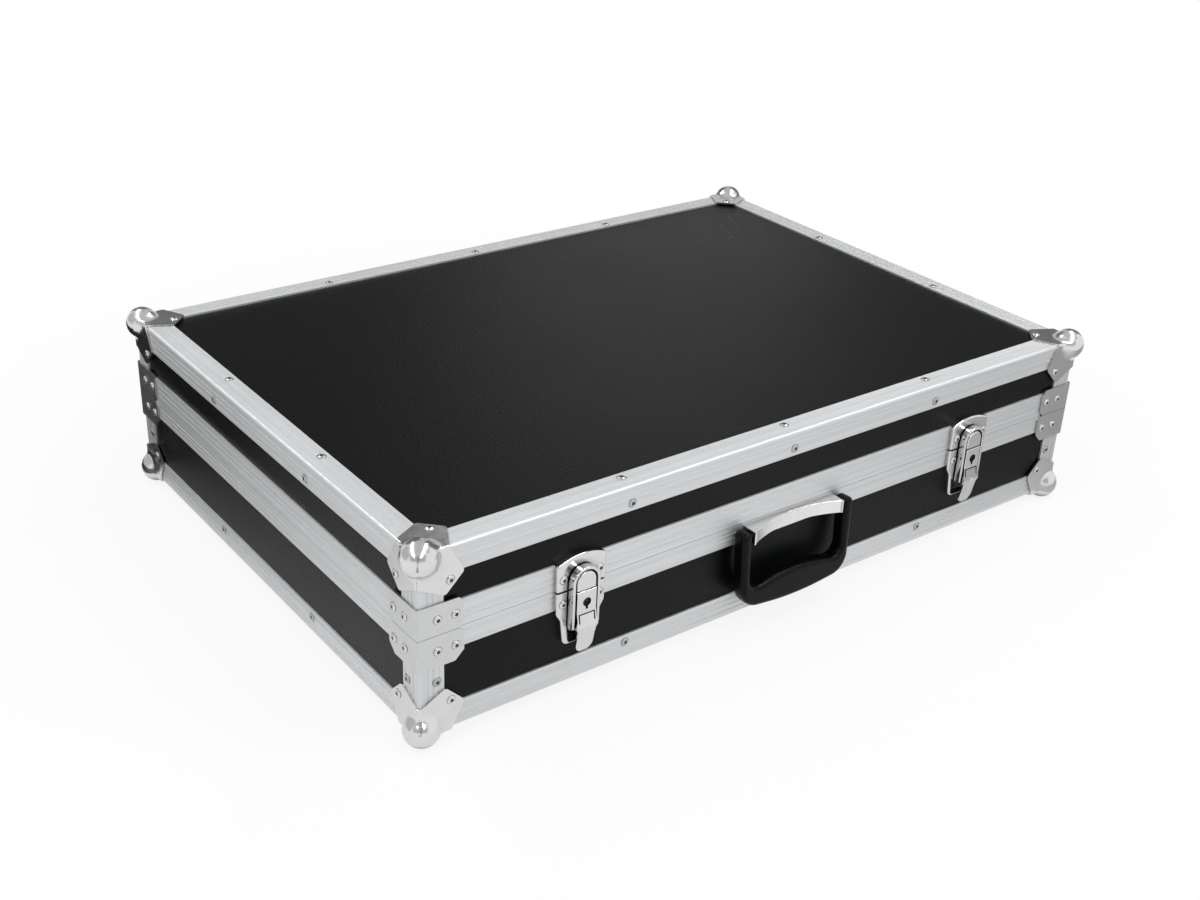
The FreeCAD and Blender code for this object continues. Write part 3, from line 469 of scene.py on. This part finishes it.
rivet_seats = {}
for name in ("base_rivets", "lid_rivets"):
    rivet_seats[name] = [seat_of(points) for points in islands(nodes[name].data)]
    on_plates = sum(proud_of_frame(seat) > plate_least_proud for seat, _ in rivet_seats[name])
    print(name, len(rivet_seats[name]), "seats,", on_plates, "on plates")

# %% [markdown]
# The rivet's own finish reads an attribute that the tree stores on each head: one in the mandrel's pit, a
# little at the rim, and nothing on the dome. Both marks are painted shade, the dark of the hole and of the
# gap round the seat. That keeps both on every rivet without a second mesh.

# %% Rivet finishes


def rivet_metal(name, color, roughness):
    """A metal darkened as painted shade where the head's pit attribute is one."""
    metal, tree, shader = start_material(name, color, roughness, 1.0)
    pit = add_node(tree, "ShaderNodeAttribute", attribute_name="pit")
    dark = add_node(tree, "ShaderNodeMapRange", {
        "Value": pit.outputs["Fac"],
        "From Min": 0.0,
        "From Max": 0.5,
        "To Min": 1.0,
        "To Max": 0.02,
    })
    shaded(tree, shader, color, dark.outputs["Result"])
    tree.links.new(dark.outputs["Result"], shader.inputs["Metallic"])
    haze = place_group(tree, haze_group, Patches_per_metre=160.0, Low=roughness - 0.06, High=roughness + 0.1)
    tree.links.new(haze.outputs["Roughness"], shader.inputs["Roughness"])
    return metal


bright_rivet = rivet_metal("bright_rivet", (0.68, 0.68, 0.68), 0.22)
dull_rivet = rivet_metal("dull_rivet", (0.46, 0.47, 0.48), 0.32)
print("materials", bright_rivet.name, dull_rivet.name)

# %% Rivet tree
rivet_radius = 0.0036
dome_power = 2.4
rim_share = 0.97
rim_painted_shade = 0.42


def start_tree(name, inputs):
    """A new Geometry Nodes tree with a Geometry input and output and the named inputs."""
    tree = bpy.data.node_groups.new(name, "GeometryNodeTree")
    tree.interface.new_socket("Geometry", in_out="INPUT", socket_type="NodeSocketGeometry")
    tree.interface.new_socket("Geometry", in_out="OUTPUT", socket_type="NodeSocketGeometry")
    keys = {}
    for label, kind in inputs:
        keys[label] = tree.interface.new_socket(label, in_out="INPUT", socket_type=kind).identifier
    return tree, tree.nodes.new("NodeGroupInput"), tree.nodes.new("NodeGroupOutput"), keys


rivet_tree, rivet_in, rivet_out, rivet_keys = start_tree(
    "rivet_heads",
    [
        ("Radius", "NodeSocketFloat"),
        ("Dome", "NodeSocketFloat"),
        ("Pit share", "NodeSocketFloat"),
        ("Pit depth", "NodeSocketFloat"),
        ("Material", "NodeSocketMaterial"),
    ],
)
radius = rivet_in.outputs["Radius"]
head = add_node(rivet_tree, "GeometryNodeMeshCone", {
    "Vertices": 16,
    "Side Segments": 7,
    "Depth": 0.001,
    "Radius Bottom": radius,
}, fill_type="NGON")
here = add_node(rivet_tree, "GeometryNodeInputPosition")
split = add_node(rivet_tree, "ShaderNodeSeparateXYZ", {"Vector": here.outputs["Position"]})
flat = {"X": split.outputs["X"], "Y": split.outputs["Y"]}
flat_place = add_node(rivet_tree, "ShaderNodeCombineXYZ", flat)
reach = add_node(rivet_tree, "ShaderNodeVectorMath", {0: flat_place.outputs["Vector"]}, operation="LENGTH")
share = calc(rivet_tree, "DIVIDE", reach.outputs["Value"], radius)
dome = calc(rivet_tree, "SUBTRACT", 1.0, calc(rivet_tree, "POWER", share, dome_power))
lift = calc(rivet_tree, "MULTIPLY", dome, rivet_in.outputs["Dome"])
pit = add_node(rivet_tree, "FunctionNodeCompare", {"A": share, "B": rivet_in.outputs["Pit share"]},
               operation="LESS_THAN")
sink = calc(rivet_tree, "MULTIPLY", pit.outputs["Result"], rivet_in.outputs["Pit depth"])
height = calc(rivet_tree, "SUBTRACT", lift, sink)
lifted = add_node(rivet_tree, "ShaderNodeCombineXYZ", {**flat, "Z": height})
shape = add_node(rivet_tree, "GeometryNodeSetPosition", {
    "Geometry": head.outputs["Mesh"],
    "Position": lifted.outputs["Vector"],
})
# Painted shade: the seat ring is marked a little dark, as a contact shadow, and the pit fully dark.
rim = add_node(rivet_tree, "FunctionNodeCompare", {"A": share, "B": rim_share}, operation="GREATER_THAN")
mark = add_node(rivet_tree, "GeometryNodeStoreNamedAttribute", {
    "Geometry": shape.outputs["Geometry"],
    "Name": "pit",
    "Value": calc(rivet_tree, "MULTIPLY_ADD", rim.outputs["Result"], rim_painted_shade, pit.outputs["Result"]),
}, data_type="FLOAT", domain="POINT")
smooth = add_node(rivet_tree, "GeometryNodeSetShadeSmooth", {
    "Geometry": mark.outputs["Geometry"],
    "Selection": head.outputs["Side"],
})
outward = add_node(rivet_tree, "GeometryNodeInputNamedAttribute", {"Name": "outward"},
                   data_type="FLOAT_VECTOR")
aim = add_node(rivet_tree, "FunctionNodeAlignRotationToVector", {"Vector": outward.outputs["Attribute"]},
               axis="Z")
stand = add_node(rivet_tree, "GeometryNodeInstanceOnPoints", {
    "Points": rivet_in.outputs["Geometry"],
    "Instance": smooth.outputs["Geometry"],
    "Rotation": aim.outputs["Rotation"],
})
real = add_node(rivet_tree, "GeometryNodeRealizeInstances", {"Geometry": stand.outputs["Instances"]})
paint = add_node(rivet_tree, "GeometryNodeSetMaterial", {
    "Geometry": real.outputs["Geometry"],
    "Material": rivet_in.outputs["Material"],
})
rivet_tree.links.new(paint.outputs["Geometry"], rivet_out.inputs["Geometry"])
print("tree", rivet_tree.name, "with", len(rivet_tree.nodes), "nodes")

# %% [markdown]
# A tree's result is only a recipe until it is evaluated. The helper below gives the points to the tree
# through a modifier, evaluates it, keeps the plain mesh, and drops the modifier, so that what rides on the
# case is ordinary geometry. The evaluated mesh also carries the empty material slot of its bare points,
# which comes first and goes. Rivets on plates are bright and domed. Those along the rails are flatter and
# duller, as in the photograph.

# %% Rivets on base and lid


def run_tree(name, mesh, tree, keys, values):
    """Evaluate a tree on a mesh and return the result as a plain mesh."""
    carrier = bpy.data.objects.new(name, mesh)
    bpy.context.scene.collection.objects.link(carrier)
    modifier = carrier.modifiers.new(name, "NODES")
    modifier.node_group = tree
    for label, value in values.items():
        modifier[keys[label]] = value
    made = bpy.data.meshes.new_from_object(carrier.evaluated_get(bpy.context.evaluated_depsgraph_get()))
    made.materials.pop(index=0)
    bpy.data.objects.remove(carrier)
    return made


def new_piece(name, mesh, body, replaced):
    """A finished piece at the origin, riding on its body and standing for CAD nodes."""
    piece = bpy.data.objects.new(name, mesh)
    bpy.context.scene.collection.objects.link(piece)
    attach(piece, body)
    if replaced:
        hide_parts(*replaced)
    return piece


def seat_points(name, seats):
    """Points at the seats, each with the direction that its rivet faces."""
    mesh = bpy.data.meshes.new(name)
    mesh.from_pydata([seat for seat, _ in seats], [], [])
    outward = mesh.attributes.new("outward", "FLOAT_VECTOR", "POINT")
    for index, (_, direction) in enumerate(seats):
        outward.data[index].vector = direction
    return mesh


def joined(meshes):
    """One mesh from several, each with its own materials."""
    shape = bmesh.new()
    materials = []
    for mesh in meshes:
        first = len(shape.faces)
        shape.from_mesh(mesh)
        shape.faces.ensure_lookup_table()
        for face in shape.faces[first:]:
            face.material_index = len(materials)
        materials.append(mesh.materials[0])
    whole = bpy.data.meshes.new("joined")
    shape.to_mesh(whole)
    shape.free()
    for material in materials:
        whole.materials.append(material)
    return whole


rivet_size = {"Radius": rivet_radius, "Pit share": 0.3}
rivet_kinds = {
    "plate": {**rivet_size, "Dome": 0.0016, "Pit depth": 0.0007, "Material": bright_rivet},
    "rail": {**rivet_size, "Dome": 0.0012, "Pit depth": 0.0005, "Material": dull_rivet},
}
for name, body in (("base_rivets", "base"), ("lid_rivets", "lid")):
    sets = {"plate": [], "rail": []}
    for seat, direction in rivet_seats[name]:
        sets["plate" if proud_of_frame(seat) > plate_least_proud else "rail"].append((seat, direction))
    heads = [run_tree(f"{name}_{kind}", seat_points(kind, sets[kind]), rivet_tree, rivet_keys, values)
             for kind, values in rivet_kinds.items()]
    rivets = new_piece(f"{body}_rivet_heads", joined(heads), body, [name])
    print(rivets.name, len(rivets.data.polygons), "faces")

# %% [markdown]
# ## Bracket lip
# The pin bore of the CAD bracket also runs out through its hollowed front lip, which is whole on the real
# bracket. A thin strip bent to the lip's own arc closes it. The arc follows from the bracket's box and its
# proud waist.

# %% Bracket lip
bracket_low, bracket_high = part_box("handle_bracket")
lip_waist = 0.0035
lip_reach = 0.0440
lip_height = 0.0104
lip_fold_drop = 0.0009
lip_skin = 0.00004
lip_depth = 0.0008
lip_steps = 48


def lip_strip():
    """A closed strip along the lip's arc, a hair in front of it and most of its sheet deep."""
    hollow = bracket_high.y - bracket_low.y - lip_waist
    radius = (bracket_high.x ** 2 + hollow ** 2) / (2 * hollow)
    centre = bracket_high.y - lip_waist - radius
    front, back = radius - lip_skin, radius + lip_depth
    foot, fold = bracket_high.z - lip_height, bracket_high.z - lip_fold_drop
    ring = ((front, foot), (back, foot), (back, fold), (front, fold))
    widest = math.asin(lip_reach / radius)
    strip = bmesh.new()
    columns = []
    for step in range(lip_steps + 1):
        angle = widest * (2 * step / lip_steps - 1)
        column = [(r * math.sin(angle), centre + r * math.cos(angle), z) for r, z in ring]
        columns.append([strip.verts.new(point) for point in column])
    for left, right in zip(columns, columns[1:]):
        for side in range(4):
            after = (side + 1) % 4
            face = strip.faces.new((left[side], left[after], right[after], right[side]))
            face.smooth = True
            strip.edges.get((left[side], right[side])).smooth = False
    for end in (columns[0], columns[-1]):
        strip.faces.new(end)
    bmesh.ops.recalc_face_normals(strip, faces=strip.faces)
    mesh = bpy.data.meshes.new("bracket_lip")
    strip.to_mesh(mesh)
    strip.free()
    mesh.materials.append(satin_nickel)
    return mesh


bracket_lip = new_piece("bracket_lip", lip_strip(), "base", [])
print(bracket_lip.name, len(bracket_lip.data.polygons), "faces")

# %% [markdown]
# ## Foam lining
# The base holds a flat floor pad and four wall pads cut from sheet foam, with soft edges. The lid holds a
# convoluted pad, whose peaks come from cutting a sheet between profiled rollers. That surface is a rule,
# two sine waves multiplied, so a Geometry Nodes tree makes it from a subdivided box. The flat pads are
# bevelled boxes whose faces are cut fine enough to be uneven, as hand-cut foam is. The wall pads fill the
# band between the floor pad and the outside of the wall foam, two of them from end to end and two between
# those.

# %% Flat pads
from mathutils import noise

pad_edge = 0.0025
pad_uneven = 0.0005
pad_waves_per_metre = 22.0
pad_cell = 0.012
pad_gap = 0.0003


def flat_pad(low, high):
    """A cut foam pad between two corners, with soft edges and slightly uneven faces."""
    pad = bmesh.new()
    bmesh.ops.create_cube(pad, size=1.0)
    inset = Vector((pad_gap, pad_gap, 0))
    size = high - low - 2 * inset
    middle = (low + high) / 2
    for vert in pad.verts:
        vert.co = Vector((vert.co[axis] * size[axis] + middle[axis] for axis in range(3)))
    for axis in range(3):
        cuts = max(1, round(size[axis] / pad_cell))
        lines = [edge for edge in pad.edges
                 if abs((edge.verts[0].co - edge.verts[1].co)[axis]) > 0.5 * size[axis]]
        bmesh.ops.subdivide_edges(pad, edges=lines, cuts=cuts, use_grid_fill=True)
    corners = [edge for edge in pad.edges if edge.calc_face_angle(0) > 0.5]
    bmesh.ops.bevel(pad, geom=corners, offset=pad_edge, segments=3, affect="EDGES", profile=0.5)
    for vert in pad.verts:
        wave = noise.noise(vert.co * pad_waves_per_metre) * pad_uneven
        towards = (middle - vert.co).normalized()
        vert.co += towards * abs(wave)
    for face in pad.faces:
        face.smooth = True
    return pad


def pads_to_mesh(name, boxes):
    """One foam mesh from several pad boxes."""
    mesh = bpy.data.meshes.new(name)
    whole = bmesh.new()
    for low, high in boxes:
        pad = flat_pad(low, high)
        part = bpy.data.meshes.new("part")
        pad.to_mesh(part)
        pad.free()
        whole.from_mesh(part)
        bpy.data.meshes.remove(part)
    whole.to_mesh(mesh)
    whole.free()
    mesh.materials.append(foam)
    return mesh


floor_low, floor_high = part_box("base_floor_foam")
wall_low, wall_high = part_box("base_wall_foam")
foot, brim = wall_low.z, wall_high.z
wall_boxes = [
    (wall_low, Vector((wall_high.x, floor_low.y, brim))),
    (Vector((wall_low.x, floor_high.y, foot)), wall_high),
    (Vector((wall_low.x, floor_low.y, foot)), Vector((floor_low.x, floor_high.y, brim))),
    (Vector((floor_high.x, floor_low.y, foot)), Vector((wall_high.x, floor_high.y, brim))),
]
floor_foam = pads_to_mesh("floor_pad", [(floor_low, floor_high)])
floor_pad = new_piece("floor_pad", floor_foam, "base", ["base_floor_foam"])
wall_foam = pads_to_mesh("wall_pads", wall_boxes)
wall_pads = new_piece("wall_pads", wall_foam, "base", ["base_wall_foam"])
print("pads", len(floor_pad.data.polygons), len(wall_pads.data.polygons), "faces")

# %% Convoluted lid pad
peak_limit = 0.85
below_middle = -0.0001
pad_tree, pad_in, pad_out, pad_keys = start_tree(
    "convoluted_pad",
    [
        ("Size", "NodeSocketVector"),
        ("Middle", "NodeSocketVector"),
        ("Pitch", "NodeSocketFloat"),
        ("Valley", "NodeSocketFloat"),
        ("Material", "NodeSocketMaterial"),
    ],
)
slab = add_node(pad_tree, "GeometryNodeMeshCube", {
    "Vertices X": 131,
    "Vertices Y": 91,
    "Vertices Z": 3,
    "Size": pad_in.outputs["Size"],
})
here = add_node(pad_tree, "GeometryNodeInputPosition")
split = add_node(pad_tree, "ShaderNodeSeparateXYZ", {"Vector": here.outputs["Position"]})
step = calc(pad_tree, "DIVIDE", 2 * math.pi, pad_in.outputs["Pitch"])
waves = []
for label in ("X", "Y"):
    phase = calc(pad_tree, "MULTIPLY", split.outputs[label], step)
    waves.append(calc(pad_tree, "COSINE", phase))
depth = add_node(pad_tree, "ShaderNodeMapRange", {
    "Value": calc(pad_tree, "MULTIPLY", *waves),
    "From Min": -peak_limit,
    "From Max": peak_limit,
    "To Min": pad_in.outputs["Valley"],
    "To Max": 0.0,
}, interpolation_type="SMOOTHSTEP")
under = add_node(pad_tree, "FunctionNodeCompare", {"A": split.outputs["Z"], "B": below_middle},
                 operation="LESS_THAN")
rise = add_node(pad_tree, "ShaderNodeCombineXYZ", {"Z": depth.outputs["Result"]})
moved = add_node(pad_tree, "GeometryNodeSetPosition", {
    "Geometry": slab.outputs["Mesh"],
    "Selection": under.outputs["Result"],
    "Offset": rise.outputs["Vector"],
})
placed = add_node(pad_tree, "GeometryNodeTransform", {
    "Geometry": moved.outputs["Geometry"],
    "Translation": pad_in.outputs["Middle"],
})
smooth = add_node(pad_tree, "GeometryNodeSetShadeSmooth", {"Geometry": placed.outputs["Geometry"]})
real = add_node(pad_tree, "GeometryNodeRealizeInstances", {"Geometry": smooth.outputs["Geometry"]})
paint = add_node(pad_tree, "GeometryNodeSetMaterial", {
    "Geometry": real.outputs["Geometry"],
    "Material": pad_in.outputs["Material"],
})
pad_tree.links.new(paint.outputs["Geometry"], pad_out.inputs["Geometry"])

pad_low, pad_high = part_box("lid_foam")
inset = Vector((pad_gap, pad_gap, 0))
lid_mesh = run_tree("lid_pad", bpy.data.meshes.new("lid_pad"), pad_tree, pad_keys, {
    "Size": pad_high - pad_low - 2 * inset,
    "Middle": (pad_low + pad_high) / 2,
    "Pitch": 0.044,
    "Valley": 0.015,
    "Material": foam,
})
lid_pad = new_piece("lid_pad", lid_mesh, "lid", ["lid_foam"])
print("lid pad", len(lid_pad.data.polygons), "faces")

# %% [markdown]
# ## White studio
# The photograph is a cut-out on white. The floor is a wide pale sheet that keeps the case's soft shadow
# near it and turns plain white further away, and the world is white wherever a camera, mirror or glass ray
# looks. Only the diffuse light is dimmer. Two softboxes at the sides give the shapes a direction without
# showing in polished metal. Two long tubes overhead do show there, as the pair of bright bands on each ball
# corner.

# %% Floor
floor_half = 6.0
around_square = ((-1, -1), (1, -1), (1, 1), (-1, 1))
floor_corners = [(x * floor_half, y * floor_half, 0) for x, y in around_square]
floor_mesh = bpy.data.meshes.new("studio_floor")
floor_mesh.from_pydata(floor_corners, [], [(0, 1, 2, 3)])
floor = bpy.data.objects.new("studio_floor", floor_mesh)
bpy.context.scene.collection.objects.link(floor)
floor_paint, tree, shader = start_material("studio_floor", (0.68, 0.68, 0.68), 0.9)
shader.inputs["Specular IOR Level"].default_value = 0.0
glow = add_node(tree, "ShaderNodeEmission", {"Color": (1, 1, 1, 1), "Strength": 1.0})
path = add_node(tree, "ShaderNodeLightPath")
mirrored = calc(tree, "MAXIMUM", path.outputs["Is Glossy Ray"], path.outputs["Is Transmission Ray"])
place = add_node(tree, "ShaderNodeTexCoord")
away = add_node(tree, "ShaderNodeVectorMath", {0: place.outputs["Object"]}, operation="LENGTH")
whites = []
for rays, least in ((path.outputs["Is Camera Ray"], 0.85), (mirrored, 0.55)):
    fade = add_node(tree, "ShaderNodeMapRange", {
        "Value": away.outputs["Value"],
        "From Min": 0.3,
        "From Max": 0.8,
        "To Min": least,
    }, interpolation_type="SMOOTHSTEP")
    whites.append(calc(tree, "MULTIPLY", fade.outputs["Result"], rays))
blend = add_node(tree, "ShaderNodeMixShader", {0: calc(tree, "MAXIMUM", *whites)})
tree.links.new(shader.outputs["BSDF"], blend.inputs[1])
tree.links.new(glow.outputs["Emission"], blend.inputs[2])
tree.links.new(blend.outputs["Shader"], tree.nodes["Material Output"].inputs["Surface"])
floor_mesh.materials.append(floor_paint)
print("floor", 2 * floor_half, "m wide")

# %% World and lamps
world = bpy.data.worlds.new("white_studio")
world.use_nodes = True
bpy.context.scene.world = world
tree = world.node_tree
sky = tree.nodes["Background"]
sky.inputs["Color"].default_value = (1, 1, 1, 1)
path = add_node(tree, "ShaderNodeLightPath")
seen = calc(tree, "MAXIMUM", path.outputs["Is Camera Ray"], path.outputs["Is Glossy Ray"])
clear = calc(tree, "MAXIMUM", seen, path.outputs["Is Transmission Ray"])
level = add_node(tree, "ShaderNodeMapRange", {"Value": clear, "To Min": 0.15, "To Max": 1.0})
tree.links.new(level.outputs["Result"], sky.inputs["Strength"])


def around(azimuth, elevation, distance):
    """A place round the case, by its compass angle from the front, its height angle and its distance."""
    turn, rise = math.radians(azimuth), math.radians(elevation)
    flat = math.cos(rise)
    return distance * Vector((math.sin(turn) * flat, -math.cos(turn) * flat, math.sin(rise)))


lamps = {
    "key_softbox": {"place": around(40, 16, 2.2), "size": (0.6, 0.9), "power": 28.0},
    "left_softbox": {"place": around(-80, 12, 2.2), "size": (0.7, 1.2), "power": 26.0},
    "left_tube": {"place": Vector((-1.28, 0.10, 1.65)), "size": (0.14, 3.7), "power": 32.0},
    "right_tube": {"place": Vector((0.22, -1.07, 1.65)), "size": (0.14, 3.7), "power": 32.0},
}
for name, lamp in lamps.items():
    data = bpy.data.lights.new(name, "AREA")
    data.shape = "RECTANGLE"
    data.size, data.size_y = lamp["size"]
    data.energy = lamp["power"]
    light = bpy.data.objects.new(name, data)
    bpy.context.scene.collection.objects.link(light)
    light.location = lamp["place"]
    is_tube = name.endswith("tube")
    towards_case = (-lamp["place"]).to_track_quat("-Z", "Y").to_euler()
    light.rotation_euler = (0, 0, camera_azimuth) if is_tube else towards_case
    light.visible_glossy = is_tube
print("lamps", list(lamps))

# %% [markdown]
# Polished metal shows whatever stands round it, and in an all-white room it turns into flat grey. A
# photographer hangs grey and black cards out of the picture, so that curved plating gets dark lines next to
# its highlights. The cards here are seen by mirror rays alone: they throw no shadow and take no light from
# the case. Those that lie on the floor shade what the laminate reflects, and the *fade* cards let that
# shade come in slowly, by an attribute that makes one end see-through.

# %% Studio cards
cards = {
    "front_wall": {"place": around(camera_side, 38, 3.4), "width": 6.0, "height": 3.4, "shade": 0.5},
    "camera_flag": {"place": around(camera_side, 17, 2.4), "width": 0.2, "height": 1.6, "shade": 0.01},
    "ceiling": {"place": Vector((0, -0.1, 1.9)), "width": 3.6, "height": 3.6, "shade": 0.6},
    "rear_wall": {"place": around(141, 25, 3.4), "width": 7.0, "height": 3.6, "shade": 0.18},
    "rear_glow": {"place": around(140, 18, 3.0), "width": 1.0, "height": 2.4, "shade": 0.62},
    "left_fade": {"place": Vector((-0.425, 0.075, 0.004)), "width": 0.16, "height": 0.35, "shade": 0.04,
                  "cover": (0, 0, 1, 1)},
    "left_flag": {"place": Vector((-0.495, 0.53, 0.004)), "width": 0.30, "height": 0.56, "shade": 0.02},
    "left_wall": {"place": around(-125, 22, 3.2), "width": 4.0, "height": 2.4, "shade": 0.58},
    "right_fade": {"place": Vector((0.275, -0.39, 0.004)), "width": 0.35, "height": 0.3, "shade": 0.4,
                   "cover": (0, 1, 1, 0)},
    "right_flag": {"place": Vector((0.75, -0.39, 0.004)), "width": 0.6, "height": 0.3, "shade": 0.4},
    "floor_flag": {"place": Vector((-0.76, -0.78, 0.004)), "width": 0.03, "height": 1.2, "shade": 0.1,
                   "spin": camera_side},
}
for name, card in cards.items():
    sheet = bpy.data.meshes.new(name)
    half = Vector((card["width"] / 2, card["height"] / 2, 0))
    facing = Vector((0, 0, -1)) if card["place"].z < 0.1 else -card["place"]
    turn = Quaternion((0, 0, 1), math.radians(card.get("spin", 0))) @ facing.to_track_quat("-Z", "Y")
    corners = [card["place"] + turn @ Vector((x * half.x, y * half.y, 0)) for x, y in around_square]
    sheet.from_pydata(corners, [], [(0, 1, 2, 3)])
    sheet.attributes.new("cover", "FLOAT", "POINT").data.foreach_set("value", card.get("cover", (1, 1, 1, 1)))
    paint, tree, shader = start_material(name, (0, 0, 0), 1.0)
    shader.inputs["Specular IOR Level"].default_value = 0.0
    shader.inputs["Emission Color"].default_value = (1, 1, 1, 1)
    shader.inputs["Emission Strength"].default_value = card["shade"]
    cover = add_node(tree, "ShaderNodeAttribute", attribute_name="cover")
    tree.links.new(cover.outputs["Fac"], shader.inputs["Alpha"])
    sheet.materials.append(paint)
    hung = bpy.data.objects.new(name, sheet)
    bpy.context.scene.collection.objects.link(hung)
    hung.visible_camera = False
    hung.visible_diffuse = False
    hung.visible_shadow = False
print("cards", list(cards))
